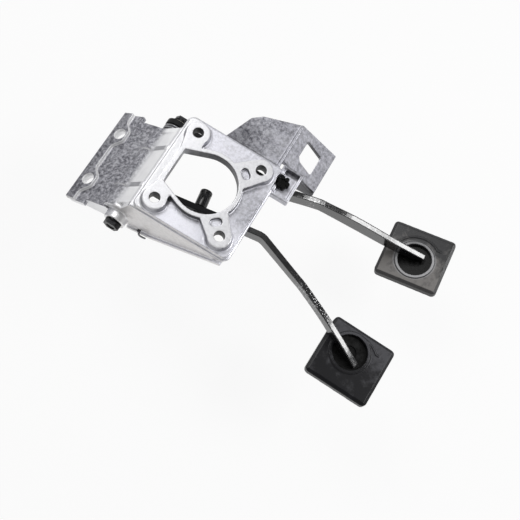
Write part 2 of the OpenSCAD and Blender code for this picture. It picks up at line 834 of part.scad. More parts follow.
// Pedal arm: side profile met by the bent plan strip, eyed for the hub and footed for the pad
module pedal_arm(upper, lower, plan, hub_y, at, tilt, turn, opening) {
    difference() {
        union() {
            intersection() {
                side_slab(-deep, deep)
                    polygon(concat(curve_through(upper, 6), reversed(curve_through(lower, 6))));
                translate([0, 0, -deep])
                    linear_extrude(2 * deep) polygon(strip_outline(bent_path(plan, 14, 6), arm_t));
            }
            on_pivot(hub_y - arm_t / 2, hub_y + arm_t / 2, arm_depth / 2 + over);
        }
        on_pivot(hub_y - arm_t, hub_y + arm_t, hub_d / 2 + fit_gap);
        pad_frame(at, tilt, turn) {
            translate([0, 0, foot_top - deep]) cylinder(h = deep, r = deep / 2);
            difference() {
                translate([0, 0, -deep / 2]) cylinder(h = deep / 2 + rim_h + pad_gap, r = deep / 2);
                translate([opening.x, opening.y, -deep]) cylinder(h = 2 * deep, r = pad_opening_r - 2);
            }
        }
    }
}

module pedal_hub(y0, y1) {
    color("dimgray") pivot_ring(y0, y1, bush_d / 2 + fit_gap, hub_d / 2);
}

// Flanged plastic bush of the given length, pressed into a hub end from the given side
module pedal_bush(y_end, side, length) {
    y_in = y_end + side * length;
    y_out = y_end - side * bush_flange_t;
    color("ivory")
        difference() {
            union() {
                on_pivot(min(y_end, y_in), max(y_end, y_in), bush_d / 2);
                on_pivot(min(y_end, y_out), max(y_end, y_out), bush_flange_r);
            }
            on_pivot(min(y_in, y_out) - over, max(y_in, y_out) + over, tube_d / 2 + run_gap);
        }
}

module foot_plate(at, tilt, turn, opening) {
    size = [pad_x - 2 * pad_wall, pad_y - 2 * pad_wall];
    color("dimgray")
        pad_frame(at, tilt, turn)
            difference() {
                translate([0, 0, foot_low]) linear_extrude(foot_t) centred_box_2d(size, pad_corner_r / 2);
                translate([opening.x, opening.y, foot_top - dish_depth])
                    cylinder(h = dish_depth + over, r = dish_r);
            }
}

// Section of a pad with its back edges bevelled
module bevel_profile(width, low) {
    polygon([
        [-width / 2, low], [width / 2, low], [width / 2, -pad_bevel.y], [width / 2 - pad_bevel.x, 0],
        [-width / 2 + pad_bevel.x, 0], [-width / 2, -pad_bevel.y]
    ]);
}

// Body of a pad: a rounded block met by the bevelled sections of both directions
module pad_body(size, low) {
    intersection() {
        translate([0, 0, low]) linear_extrude(-low) centred_box_2d(size, pad_corner_r);
        rotate([90, 0, 0]) linear_extrude(2 * size.y, center = true) bevel_profile(size.x, low);
        rotate([90, 0, 90]) linear_extrude(2 * size.x, center = true) bevel_profile(size.y, low);
    }
}

// Moulding line round part of the opening, with ends that turn outwards
module pad_ridge() {
    mid = (ridge_from + ridge_to) / 2;
    linear_extrude(ridge_h) {
        difference() {
            circle(ridge_r + ridge_w / 2, $fn = 96);
            circle(ridge_r - ridge_w / 2, $fn = 96);
            polygon([
                [0, 0], deep * [cos(ridge_to), sin(ridge_to)], -deep * [cos(mid), sin(mid)],
                deep * [cos(ridge_from), sin(ridge_from)]
            ]);
        }
        for (end = [[ridge_from, -45], [ridge_to, 45]])
            rotate(end[0]) translate([ridge_r, 0]) rotate(end[1])
                translate([-ridge_w / 2, -ridge_w / 2]) square([ridge_flare, ridge_w]);
    }
}

// Rubber pad: a cap over the foot plate with a round opening in its back and grip bars in front
module pedal_pad(at, tilt, turn, opening, ridge_at) {
    size = [pad_x, pad_y];
    grow = [2 * fit_gap, 2 * fit_gap];
    inner = [pad_x - 2 * pad_wall, pad_y - 2 * pad_wall] + grow;
    front_step = 2;
    front_inset = [3, 3];
    bar = [pad_x / (2 * grip_bars), pad_y - 2 * pad_corner_r];
    bar_h = 1.5;
    color("black")
        pad_frame(at, tilt, turn) {
            difference() {
                union() {
                    pad_body(size, -pad_t + front_step);
                    translate([0, 0, -pad_t])
                        linear_extrude(pad_t - pad_lip_t)
                            centred_box_2d(size - front_inset, pad_corner_r - 1.5);
                    translate(opening) cylinder(h = rim_h, r = pad_opening_r + rim_w);
                    translate(ridge_at) pad_ridge();
                    for (i = [0:grip_bars - 1])
                        translate([(i - (grip_bars - 1) / 2) * 2 * bar.x * 0.9, 0, -pad_t - bar_h])
                            linear_extrude(bar_h + over) centred_box_2d(bar, 1.5);
                }
                translate([0, 0, foot_low]) linear_extrude(foot_t) centred_box_2d(inner, pad_corner_r / 2);
                translate([opening.x, opening.y, foot_top - over]) cylinder(h = pad_t, r = pad_opening_r);
            }
        }
}

// Stations of the brake arm, as X and Z along its upper and lower edge
brake_upper = [
    [pivot_x - 6, pivot_z + arm_depth / 2 - 1], [pivot_x + 27.5, pivot_z + 5.5], [20, pivot_z + 5.5],
    [60, pivot_z + 5], [100, pivot_z + 1.5], [brake_pad_at.x - 44, brake_pad_at.z + 18.5],
    [brake_pad_at.x - 16, brake_pad_at.z + 12], [brake_pad_at.x + 6, brake_pad_at.z + 4]
];
brake_lower = [
    [pivot_x - 6, pivot_z - arm_depth / 2 + 1], [pivot_x + 27.5, pivot_z - 10], [20, pivot_z - 9.5],
    [60, pivot_z - 9.5], [100, pivot_z - 11], [brake_pad_at.x - 44, brake_pad_at.z + 6],
    [brake_pad_at.x - 16, brake_pad_at.z - 3], [brake_pad_at.x + 6, brake_pad_at.z - 6]
];
brake_bend = [flange_x1 + 13, brake_arm_y + 14.5];
brake_knee = [brake_pad_at.x - 72, brake_pad_at.y + 31.5];
brake_plan = [
    [pivot_x - 8, brake_arm_y], [pivot_x + 22, brake_arm_y], brake_bend, brake_knee,
    [brake_pad_at.x + 6, brake_pad_at.y - 3]
];

module brake_arm() {
    color("slategray")
        difference() {
            pedal_arm(brake_upper, brake_lower, brake_plan, brake_arm_y, brake_pad_at, 0, brake_pad_turn,
                brake_opening);
            pin_frame() cylinder(h = 4 * arm_t, d = pin_shank_d + 2 * fit_gap, center = true);
        }
}

// Push-rod pin under the servo axis, square to the brake arm
pin_turn = atan2(brake_bend.y - brake_plan[1].y, brake_bend.x - brake_plan[1].x);
pin_at = [0, brake_plan[1].y - brake_plan[1].x * tan(pin_turn), pivot_z - 1.5];

module pin_frame() {
    translate(pin_at) rotate([-90, 0, pin_turn]) children();
}

// Shank riveted in the arm, chamfered shoulder, journal for the push rod and a clip groove
module pushrod_pin() {
    groove_w = 1.2;
    groove_depth = 0.8;
    groove_in = 5;
    tip_r = 2;
    face = arm_t / 2;
    tip = face + pin_len;
    color("black")
        pin_frame()
            rotate_extrude()
                difference() {
                    union() {
                        translate([0, -face - over]) square([pin_shank_d / 2, arm_t + 2 * over]);
                        polygon([
                            [0, face], [pin_d / 2 - pin_chamfer, face], [pin_d / 2, face + pin_chamfer],
                            [pin_d / 2, tip - tip_r], [0, tip - tip_r]
                        ]);
                        translate([0, face]) square([pin_d / 2 - tip_r, pin_len]);
                        translate([pin_d / 2 - tip_r, tip - tip_r])
                            intersection() {
                                circle(tip_r);
                                square(tip_r);
                            }
                    }
                    translate([pin_d / 2 - groove_depth, tip - groove_in]) square([over, groove_w]);
                }
}

// Stations of the clutch arm, as X and Z along its upper and lower edge
clutch_upper = [
    [pivot_x - 6, pivot_z + arm_depth / 2 - 1], [pivot_x + 37.5, pivot_z + 9.5],
    [pivot_x + 62.5, pivot_z + 8], [flange_x1 + 13, pivot_z + 2], [flange_x1 + 46, pivot_z - 6.5],
    [clutch_pad_at.x - 68, clutch_pad_at.z + 31], [clutch_pad_at.x - 24, clutch_pad_at.z + 15],
    [clutch_pad_at.x + 8, clutch_pad_at.z + 5.5]
];
clutch_lower = [
    [pivot_x - 6, pivot_z - arm_depth / 2 + 1], [pivot_x + 37.5, pivot_z - 6.5],
    [pivot_x + 62.5, pivot_z - 7], [flange_x1 + 13, pivot_z - 14], [flange_x1 + 46, pivot_z - 21.5],
    [clutch_pad_at.x - 68, clutch_pad_at.z + 13], [clutch_pad_at.x - 24, clutch_pad_at.z - 1],
    [clutch_pad_at.x + 8, clutch_pad_at.z - 6]
];
clutch_plan = [
    [pivot_x - 8, clutch_arm_y], [flange_x1 + 6, clutch_arm_y],
    [flange_x1 + 43, clutch_arm_y + 14], [clutch_pad_at.x + 8, clutch_pad_at.y + 2]
];

module clutch_arm() {
    color("slategray")
        pedal_arm(clutch_upper, clutch_lower, clutch_plan, clutch_arm_y, clutch_pad_at,
            clutch_pad_tilt, clutch_pad_turn, clutch_opening);
}

module brake_hub() {
    pedal_hub(brake_hub_y0, brake_hub_y1);
}

module brake_bush_near() {
    pedal_bush(brake_hub_y0, 1, bush_len);
}

module brake_bush_far() {
    pedal_bush(brake_hub_y1, -1, bush_len);
}

module brake_foot_plate() {
    foot_plate(brake_pad_at, 0, brake_pad_turn, brake_opening);
}

module brake_pad() {
    pedal_pad(brake_pad_at, 0, brake_pad_turn, brake_opening, [0, 0]);
}

module clutch_hub() {
    pedal_hub(clutch_hub_y0, clutch_hub_y1);
}

module clutch_bush_near() {
    pedal_bush(clutch_hub_y0, 1, clutch_bush_len);
}

module clutch_bush_far() {
    pedal_bush(clutch_hub_y1, -1, clutch_bush_len);
}

module clutch_foot_plate() {
    foot_plate(clutch_pad_at, clutch_pad_tilt, clutch_pad_turn, clutch_opening);
}

module clutch_pad() {
    pedal_pad(clutch_pad_at, clutch_pad_tilt, clutch_pad_turn, clutch_opening, clutch_opening);
}

bracket_casting();
pivot_bolt();
pivot_nut();
pivot_washer();
distance_tube();
clutch_sleeve();
near_thrust_washer();
middle_thrust_washer();
far_thrust_washer();
clutch_stop_buffer();
brake_return_spring();
clutch_return_spring();
brake_arm();
brake_hub();
brake_bush_near();
brake_bush_far();
brake_foot_plate();
brake_pad();
pushrod_pin();
clutch_arm();
clutch_hub();
clutch_bush_near();
clutch_bush_far();
clutch_foot_plate();
clutch_pad();
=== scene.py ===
import json
from math import cos, hypot, radians, sin

import bmesh
import bpy
from mathutils import Matrix, Vector


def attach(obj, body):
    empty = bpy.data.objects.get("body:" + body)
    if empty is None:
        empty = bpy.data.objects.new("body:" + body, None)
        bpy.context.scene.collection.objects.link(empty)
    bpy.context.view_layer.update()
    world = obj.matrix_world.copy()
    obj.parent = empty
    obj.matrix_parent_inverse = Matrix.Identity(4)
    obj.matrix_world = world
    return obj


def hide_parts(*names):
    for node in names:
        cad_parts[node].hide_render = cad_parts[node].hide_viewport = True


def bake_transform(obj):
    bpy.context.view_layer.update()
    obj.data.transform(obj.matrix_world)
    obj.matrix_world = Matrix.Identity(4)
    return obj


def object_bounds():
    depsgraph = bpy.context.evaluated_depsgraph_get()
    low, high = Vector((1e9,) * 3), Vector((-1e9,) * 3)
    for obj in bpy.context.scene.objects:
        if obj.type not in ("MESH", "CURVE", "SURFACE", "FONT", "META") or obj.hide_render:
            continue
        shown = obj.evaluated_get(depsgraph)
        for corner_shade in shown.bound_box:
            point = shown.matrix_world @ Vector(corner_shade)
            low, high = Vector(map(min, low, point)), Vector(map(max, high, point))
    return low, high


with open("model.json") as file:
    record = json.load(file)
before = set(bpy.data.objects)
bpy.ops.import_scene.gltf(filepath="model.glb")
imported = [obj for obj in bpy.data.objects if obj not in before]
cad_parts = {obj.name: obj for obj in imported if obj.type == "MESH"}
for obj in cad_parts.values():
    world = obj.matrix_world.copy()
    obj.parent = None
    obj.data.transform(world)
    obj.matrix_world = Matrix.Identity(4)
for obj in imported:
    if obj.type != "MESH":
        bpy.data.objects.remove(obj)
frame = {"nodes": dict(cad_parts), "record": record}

MM = 0.001
# Sockets of a Mix node that carry colours
MIX_A, MIX_B, MIX_RESULT = 6, 7, 2
nodes = frame["nodes"]
cad_low, cad_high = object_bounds()

# Places on the part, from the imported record
mounts = {mount["name"]: mount for mount in frame["record"]["mounts"]}
dash_holes = [Vector(mounts[name]["pos_m"]) for name in ("dash_hole_near", "dash_hole_far")]
dash_hole = dash_holes[0]
dash_normal = Vector(mounts["dash_hole_near"]["axis"])


# Materials

def grey(level, blue=0.0):
    """A grey colour, with some more blue where it is given."""
    return (level, level, level + blue)


class Graph:
    """Short calls to add and join the nodes of one material or world."""

    def __init__(self, owner):
        owner.use_nodes = True
        self.owner = owner
        self.tree = owner.node_tree
        spots = self.add("ShaderNodeTexCoord").outputs
        self.place, self.normal, self.direction = spots["Object"], spots["Normal"], spots["Generated"]

    def add(self, kind, **settings):
        node = self.tree.nodes.new(kind)
        for key, value in settings.items():
            setattr(node, key, value)
        return node

    def feed(self, socket, value):
        if isinstance(value, bpy.types.NodeSocket):
            self.tree.links.new(value, socket)
        else:
            socket.default_value = value

    def noise(self, size, detail=4.0, rough=0.6, stretch=None):
        """Fractal noise whose features are about size metres across."""
        place = self.place
        if stretch:
            mapping = self.add("ShaderNodeMapping")
            mapping.inputs["Scale"].default_value = stretch
            self.feed(mapping.inputs["Vector"], place)
            place = mapping.outputs["Vector"]
        noise = self.add("ShaderNodeTexNoise")
        self.feed(noise.inputs["Vector"], place)
        noise.inputs["Scale"].default_value = 1 / size
        noise.inputs["Detail"].default_value = detail
        noise.inputs["Roughness"].default_value = rough
        return noise.outputs["Fac"]

    def ramp(self, value, *stops):
        """Colours at places from 0 to 1, as (place, (r, g, b))."""
        node = self.add("ShaderNodeValToRGB")
        elements = node.color_ramp.elements
        while len(elements) < len(stops):
            elements.new(1.0)
        for element, (at, colour) in zip(list(elements), stops):
            element.position = at
            element.color = (*colour, 1.0)
        self.feed(node.inputs["Fac"], value)
        return node.outputs["Color"]

    def band(self, value, low, high, to_low=0.0, to_high=1.0):
        """Value stretched so that low to high becomes to_low to to_high, and held outside."""
        node = self.add("ShaderNodeMapRange", interpolation_type="SMOOTHSTEP")
        node.inputs["From Min"].default_value = low
        node.inputs["From Max"].default_value = high
        node.inputs["To Min"].default_value = to_low
        node.inputs["To Max"].default_value = to_high
        self.feed(node.inputs["Value"], value)
        return node.outputs["Result"]

    def math(self, operation, a, b=0.0):
        node = self.add("ShaderNodeMath", operation=operation)
        self.feed(node.inputs[0], a)
        self.feed(node.inputs[1], b)
        return node.outputs["Value"]

    def both(self, *shares):
        """Product of several shares from 0 to 1."""
        total = shares[0]
        for share in shares[1:]:
            total = self.math("MULTIPLY", total, share)
        return total

    def mix(self, share, a, b):
        node = self.add("ShaderNodeMix", data_type="RGBA")
        self.feed(node.inputs["Factor"], share)
        for socket, value in ((node.inputs[MIX_A], a), (node.inputs[MIX_B], b)):
            self.feed(socket, (*value, 1.0) if isinstance(value, tuple) else value)
        return node.outputs[MIX_RESULT]

    def axis(self, letter, vector=None):
        node = self.add("ShaderNodeSeparateXYZ")
        self.feed(node.inputs["Vector"], vector or self.place)
        return node.outputs[letter]

    def along(self, direction, vector=None):
        """Length of a vector along a direction: of the place itself where none is given."""
        node = self.add("ShaderNodeVectorMath", operation="DOT_PRODUCT")
        self.feed(node.inputs[0], vector or self.place)
        node.inputs[1].default_value = direction
        return node.outputs["Value"]

    def away(self, *offsets):
        """Distance from a point or an axis, from the offsets square to each other."""
        squares = [self.math("MULTIPLY", offset, offset) for offset in offsets]
        return self.math("SQRT", self.math("ADD", *squares))

    def seen_directly(self):
        """1 for rays that show the surroundings themselves: camera, glossy and transmission rays."""
        path = self.add("ShaderNodeLightPath").outputs
        shown = self.math("MAXIMUM", path["Is Camera Ray"], path["Is Glossy Ray"])
        return self.math("MAXIMUM", shown, path["Is Transmission Ray"])


class Surface(Graph):
    """A material with one Principled surface."""

    def __init__(self, name):
        super().__init__(bpy.data.materials.new(name))
        self.surface = self.tree.nodes["Principled BSDF"]

    def set(self, **values):
        """Puts values or sockets on the surface, such as base_color=(r, g, b)."""
        for key, value in values.items():
            socket = self.surface.inputs[key.replace("_", " ").title().replace("Ior", "IOR")]
            if isinstance(value, tuple):
                value = (*value, 1.0)
            self.feed(socket, value)
        return self

    def edges(self):
        """High on convex edges and low in corners."""
        return self.add("ShaderNodeNewGeometry").outputs["Pointiness"]

    def openness(self, reach):
        """1 on open faces, and lower where the piece itself closes in within the reach."""
        node = self.add("ShaderNodeAmbientOcclusion", samples=8, only_local=True)
        node.inputs["Distance"].default_value = reach
        return node.outputs["AO"]

    def bump(self, height, distance, strength=1.0):
        node = self.add("ShaderNodeBump")
        node.inputs["Distance"].default_value = distance
        node.inputs["Strength"].default_value = strength
        self.feed(node.inputs["Height"], height)
        self.feed(self.surface.inputs["Normal"], node.outputs["Normal"])
        return self.owner


def cast_aluminium():
    """Die-cast skin: smooth lands and panel, walls painted dark as shade, and grey flaky metal on the
    outer plates.
    """
    s = Surface("cast_aluminium")
    x, y, z = (s.axis(letter) for letter in "XYZ")
    facing_up, facing_near = s.axis("Z", s.normal), s.axis("Y", s.normal)
    grain = s.noise(1.1 * MM, detail=3.0, rough=0.7)
    flake = s.noise(2.8 * MM, detail=4.0, rough=0.7)
    cloud = s.noise(24 * MM, detail=2.0)

    def beside(value, middle):
        return s.math("ABSOLUTE", s.math("SUBTRACT", value, middle))

    # Flange: lands on top, their walls painted dark as shade, a panel between them painted paler towards
    # its near side as painted light, and stud holes painted dark as shade
    land_top, land_edge = -0.5 * MM, 1.5 * MM
    flange_low = -12 * MM
    flange_back, back_edge = -34 * MM, 5 * MM
    wall_slope = (0.55, 0.35)
    opening_reach = (33 * MM, 38 * MM)
    near_light_from, near_light_to, near_light_share = 0.0, -30 * MM, 0.6
    flaky_from, flaky_to, flaky_share = 24 * MM, 40 * MM, 0.6
    flaky_side, flaky_core = 28 * MM, 8 * MM
    land = s.math(
        "MAXIMUM",
        s.band(z, land_top - land_edge, land_top),
        s.band(x, flange_back, flange_back - back_edge),
    )
    # Painted shade: steep walls below the lands are painted dark, near black inside the servo opening.
    wall = s.both(
        s.band(s.math("ABSOLUTE", facing_up), *wall_slope),
        s.band(z, flange_low, flange_low + 1 * MM),
    )
    outside = s.band(s.away(x, y), *opening_reach)
    # Painted light: the panel is painted paler towards its near side.
    near_painted_light = s.band(y, near_light_from, near_light_to, 0.0, near_light_share)
    flaky_end = s.both(
        s.band(x, flaky_from, flaky_to, 0.0, flaky_share),
        s.band(s.math("ABSOLUTE", y), flaky_side, flaky_core),
    )
    studs = mounts["servo_studs"]["dims"]
    stud_r = studs["hole_r_mm"] * MM
    stud_away = s.away(
        beside(s.math("ABSOLUTE", x), studs["spacing_x_mm"] * MM / 2),
        beside(s.math("ABSOLUTE", y), studs["spacing_y_mm"] * MM / 2),
    )
    # Painted shade: the stud holes are painted near black inside.
    stud_hole_shade = s.band(stud_away, stud_r + 0.4 * MM, stud_r + 0.1 * MM)

    # Wing beside the flange: dark near the flange, paler beyond its bend, with a web below whose near face
    # is painted dark as shade
    flange_side = 52 * MM
    bend = 42 * MM
    root_far, root_near, root_share = 92 * MM, 62 * MM, 0.9
    web_side = 65 * MM
    web_slope = (-0.7, -0.9)
    wing = s.band(y, flange_side - 1 * MM, flange_side + 1 * MM)
    wing_end = s.both(wing, s.band(x, 0.0, bend))
    wing_root = s.both(
        wing,
        s.band(x, bend - 8 * MM, 0.0),
        s.band(y, root_far, root_near, 0.0, root_share),
    )
    # Painted shade: the web's face towards the near side is painted dark.
    web = s.both(s.band(y, web_side - 2 * MM, web_side), s.band(facing_near, *web_slope))

    # Tilted dash plate: a raised strip with two holes whose bores are painted light, and a step between
    # strip and plate painted as a white highlight
    crest = -62 * MM
    step_end, step_fade = -84 * MM, 4 * MM
    step_slope = (0.90, 0.70)
    strip_rise, strip_share = 3.5 * MM, 0.4
    plate_face = dash_hole.dot(dash_normal) - strip_rise
    dash_slope = Vector((0, 1, 0)).cross(dash_normal)
    bore_r = mounts["dash_hole_near"]["dims"]["r_mm"] * MM
    hole_mid = sum(dash_holes, Vector()).y / 2
    hole_half = (dash_holes[1] - dash_holes[0]).y / 2
    dash = s.band(x, crest + 2 * MM, crest - 5 * MM)
    dash_height = s.along(dash_normal)
    beyond_step = s.band(x, step_end, step_end - step_fade)
    # Painted highlight: the step wall between strip and plate is painted white.
    step_highlight = s.both(
        beyond_step,
        s.band(s.math("ABSOLUTE", s.along(dash_normal, s.normal)), *step_slope),
        s.band(dash_height, plate_face - 0.3 * MM, plate_face + 0.3 * MM),
    )
    strip = s.both(
        beyond_step,
        s.band(dash_height, plate_face + 2.4 * MM, plate_face + 3.2 * MM, 0.0, strip_share),
    )
    hole_away = s.away(
        beside(beside(y, hole_mid), hole_half),
        beside(s.along(dash_slope), dash_hole.dot(dash_slope)),
    )
    # Painted light: the walls of the two dash bores are painted pale.
    dash_bore_light = s.both(dash, s.band(hole_away, bore_r + 0.5 * MM, bore_r + 0.2 * MM))

    # Tunnel: a painted white highlight between its ribs with the ribs in painted shade, and painted light
    # on the sides that face the brake pedal
    near_side = -48 * MM
    near_slope = (-0.6, -0.85)
    tunnel_front, tunnel_fade = -44 * MM, 4 * MM
    ribs, rib_half = (-28 * MM, 13 * MM), 2 * MM
    outer = s.math("MAXIMUM", s.band(y, near_side, near_side - 1 * MM), dash)
    # Painted light: faces turned towards the near side are painted pale, and white on the dash plate.
    lit_near_faces = s.both(outer, s.band(facing_near, *near_slope))
    # Painted highlight: the tunnel's top is painted white between its ribs, and the ribs darker grey as
    # painted shade.
    back = s.both(
        s.band(x, crest - 1 * MM, crest + 3 * MM),
        s.band(z, flange_low + 2 * MM, flange_low - 1 * MM),
        s.band(x, tunnel_front, tunnel_front - tunnel_fade),
    )
    rib_shade = 0.0
    for rib in ribs:
        rib_shade = s.math("MAXIMUM", rib_shade, s.band(beside(y, rib), rib_half + 0.8 * MM, rib_half))

    # Painted highlights on convex edges, painted shade in closed corners, and large clouds
    corner_reach = 3.5 * MM
    # Painted highlight: convex edges are painted pale.
    edge_highlight = s.band(s.edges(), 0.53, 0.60, 0.0, 0.8)
    # Painted shade: corners that the piece closes in on are painted near black, less on the dash plate.
    corner_shade = s.both(
        s.band(s.openness(corner_reach), 0.80, 0.52, 0.0, 0.85),
        s.band(dash, 0.0, 1.0, 1.0, 0.2),
    )
    clouded = s.band(cloud, 0.45, 0.65, 0.0, 0.2)

    # Colours of each surface, from its dark flakes to its pale ones
    flakes = {
        "panel": ((0.34, grey(0.52, 0.04)), (0.60, grey(0.77, 0.06))),
        "land": ((0.30, grey(0.62, 0.02)), (0.58, grey(0.77, 0.02))),
        # The wall colours are painted shade: near black inside the servo opening, dark grey outside it.
        "wall": ((0.34, grey(0.06, 0.005)), (0.62, grey(0.16, 0.01))),
        "outer_wall": ((0.34, grey(0.24, 0.02)), (0.62, grey(0.42, 0.03))),
        "plate": ((0.38, grey(0.13, 0.02)), (0.50, grey(0.30, 0.03)), (0.62, grey(0.54, 0.04))),
        "bend": ((0.38, grey(0.22, 0.02)), (0.62, grey(0.48, 0.05))),
        "dark": ((0.36, grey(0.05, 0.01)), (0.64, grey(0.25, 0.02))),
        "lit_near_faces": ((0.30, (0.64, 0.625, 0.62)), (0.60, (0.79, 0.775, 0.77))),
    }
    skin = {surface: s.ramp(flake, *stops) for surface, stops in flakes.items()}
    # Pale grey for the painted highlights and painted light
    painted_light_grey = grey(0.88, 0.01)
    layers = (
        (near_painted_light, grey(0.84, 0.06)),
        (flaky_end, skin["bend"]),
        (land, skin["land"]),
        (wall, s.mix(outside, skin["wall"], skin["outer_wall"])),
        (s.math("MAXIMUM", wing, dash), skin["plate"]),
        (wing_end, skin["bend"]),
        (wing_root, skin["dark"]),
        (web, skin["wall"]),
        (strip, skin["dark"]),
        (back, s.mix(rib_shade, grey(0.94, 0.01), grey(0.34, 0.02))),
        (lit_near_faces, skin["lit_near_faces"]),
        (s.both(lit_near_faces, dash), painted_light_grey),
        (clouded, grey(0.62, 0.03)),
        (edge_highlight, painted_light_grey),
        (corner_shade, grey(0.05, 0.01)),
        (s.math("MAXIMUM", dash_bore_light, step_highlight), painted_light_grey),
        (stud_hole_shade, grey(0.025, 0.002)),
    )
    colour = skin["panel"]
    for share, layer in layers:
        colour = s.mix(share, colour, layer)
    # The painted highlight on the step takes away most of the metal, so that it shows its own white.
    s.set(base_color=colour, metallic=s.band(step_highlight, 0.0, 1.0, 0.9, 0.1))
    s.set(roughness=s.band(flake, 0.3, 0.7, 0.36, 0.52))
    return s.bump(s.math("ADD", grain, s.math("MULTIPLY", flake, 0.9)), 0.22 * MM, 0.5)


def arm_paint(name, pitted_from, pitted_to):
    """Gloss black paint over pressed steel, pitted on one stretch, worn on edges, and painted dark as
    shade under the flange by losing its gloss there.
    """
    fade = 12 * MM
    flange_shade_to, flange_shade_share, flange_shade_rough = 36 * MM, 0.8, 0.55
    steel = grey(0.60, 0.01)
    s = Surface(name)
    x = s.axis("X")
    peel = s.noise(2.4 * MM, detail=4.0, stretch=(0.5, 1.0, 1.0))
    pit = s.noise(1.7 * MM, detail=3.0, rough=0.75)
    pitted = s.both(
        s.band(x, pitted_from - fade, pitted_from + fade),
        s.band(x, pitted_to + fade, pitted_to - fade),
    )
    bare = s.both(pitted, s.band(pit, 0.56, 0.64))
    worn = s.math("MAXIMUM", s.band(s.edges(), 0.54, 0.62, 0.0, 0.7), bare)
    # Painted shade: under the flange the paint turns to metal of its black colour and grows rough, so it
    # loses its gloss and looks dark.
    flange_shade = s.band(x, flange_shade_to + fade, flange_shade_to - fade, 0.0, flange_shade_share)
    paint = s.ramp(peel, (0.35, grey(0.004, 0.001)), (0.7, grey(0.012, 0.001)))
    gloss = s.band(peel, 0.3, 0.7, 0.12, 0.20)
    s.set(base_color=s.mix(worn, paint, steel), metallic=s.math("MAXIMUM", worn, flange_shade))
    s.set(roughness=s.math("ADD", gloss, s.math("MULTIPLY", flange_shade, flange_shade_rough)), specular_ior_level=1.0)
    return s.bump(s.math("ADD", peel, s.math("MULTIPLY", bare, 2.0)), 0.05 * MM, 0.25)


def black_coat(name, rough, gloss):
    """Thin black dip on steel."""
    s = Surface(name)
    run = s.noise(4 * MM, detail=4.0)
    s.set(base_color=s.ramp(run, (0.35, grey(0.002)), (0.7, grey(0.008))))
    s.set(roughness=s.band(run, 0.3, 0.7, rough, rough + 0.18), specular_ior_level=gloss)
    return s.bump(run, 0.06 * MM, 0.3)


def rubber(name, dark, pale, gloss, face=None, sheen_span=None, sheen_ring_at=None):
    """Moulded rubber with a bloom, painted sheen, and painted shade on slopes and in corners.

    face is the normal of its flat face, whose slopes are painted dark as shade. The next argument gives
    the places along Y where a painted sheen is least and where it is most, and the last one the middle
    of a ring of painted sheen, along X and Y.
    """
    sheen_least, sheen_most = -0.16, 0.18
    ring_in, ring_out = 15.8 * MM, 21.5 * MM
    ring_inner_edge, ring_outer_edge = 0.5 * MM, 2.5 * MM
    ring_sheen_colour, edge_colour, corner_shade_colour = grey(0.42, 0.01), grey(0.12, 0.005), grey(0.003)
    shade_slope = (0.985, 0.90)
    corner_reach = 3 * MM
    s = Surface(name)
    grain = s.noise(0.8 * MM, detail=2.0)
    bloom = s.noise(13 * MM, detail=6.0, rough=0.7)
    if sheen_span:
        # Painted sheen: the bloom is made paler towards one end of the pad along Y.
        bloom = s.math("ADD", bloom, s.band(s.axis("Y"), *sheen_span, sheen_least, sheen_most))
    base = s.ramp(bloom, (0.38, dark), (0.64, pale))
    if sheen_ring_at:
        r = s.away(*[s.math("SUBTRACT", s.axis(letter), at) for letter, at in zip("XY", sheen_ring_at)])
        # Painted sheen: a pale ring round the pad's recess.
        ring_sheen = s.both(
            s.band(r, ring_in - ring_inner_edge, ring_in),
            s.band(r, ring_out, ring_out - ring_outer_edge),
            s.band(bloom, 0.3, 0.6, 0.5, 1.0),
        )
        base = s.mix(ring_sheen, base, ring_sheen_colour)
    if face:
        # Painted shade: the slopes round the pad's flat face are painted dark.
        base = s.mix(s.band(s.along(face, s.normal), *shade_slope, 0.0, 0.85), base, dark)
    base = s.mix(s.band(s.edges(), 0.53, 0.62, 0.0, 0.5), base, edge_colour)
    # Painted shade: corners that the pad closes in on itself are painted near black.
    base = s.mix(s.band(s.openness(corner_reach), 0.8, 0.5, 0.0, 0.9), base, corner_shade_colour)
    s.set(base_color=base, roughness=s.band(bloom, 0.3, 0.7, 0.36, 0.52), specular_ior_level=gloss)
    return s.bump(s.math("ADD", grain, bloom), 0.08 * MM, 0.3)


def plated_steel(name, dark, pale, rough):
    """Bare or plated metal with a fine grain."""
    s = Surface(name)
    grain = s.noise(1.6 * MM, detail=5.0, rough=0.7)
    s.set(base_color=s.ramp(grain, (0.34, dark), (0.66, pale)), metallic=1.0)
    s.set(roughness=s.band(grain, 0.3, 0.7, rough, rough + 0.14))
    return s.bump(grain, 0.04 * MM, 0.3)


def bush_plastic():
    """Pale moulded plastic with faint flow marks."""
    s = Surface("bush_plastic")
    flow = s.noise(5 * MM, detail=3.0)
    s.set(base_color=s.ramp(flow, (0.35, (0.62, 0.57, 0.46)), (0.7, (0.74, 0.70, 0.60))))
    s.set(roughness=s.band(flow, 0.3, 0.7, 0.4, 0.55))
    return s.bump(flow, 0.05 * MM, 0.2)


# Places on the pads: the ring of painted sheen round the clutch pad's recess, and the faces that show
clutch_ring = (198.5 * MM, 79.3 * MM)
clutch_tilt = radians(13.6)
brake_face = Vector((0, 0, 1))
clutch_face = Vector((-sin(clutch_tilt), 0, cos(clutch_tilt)))
# Each pad's painted sheen: the places along Y where it is least and where it is most
brake_sheen_span = (-60 * MM, -22 * MM)
clutch_sheen_span = (105 * MM, 60 * MM)
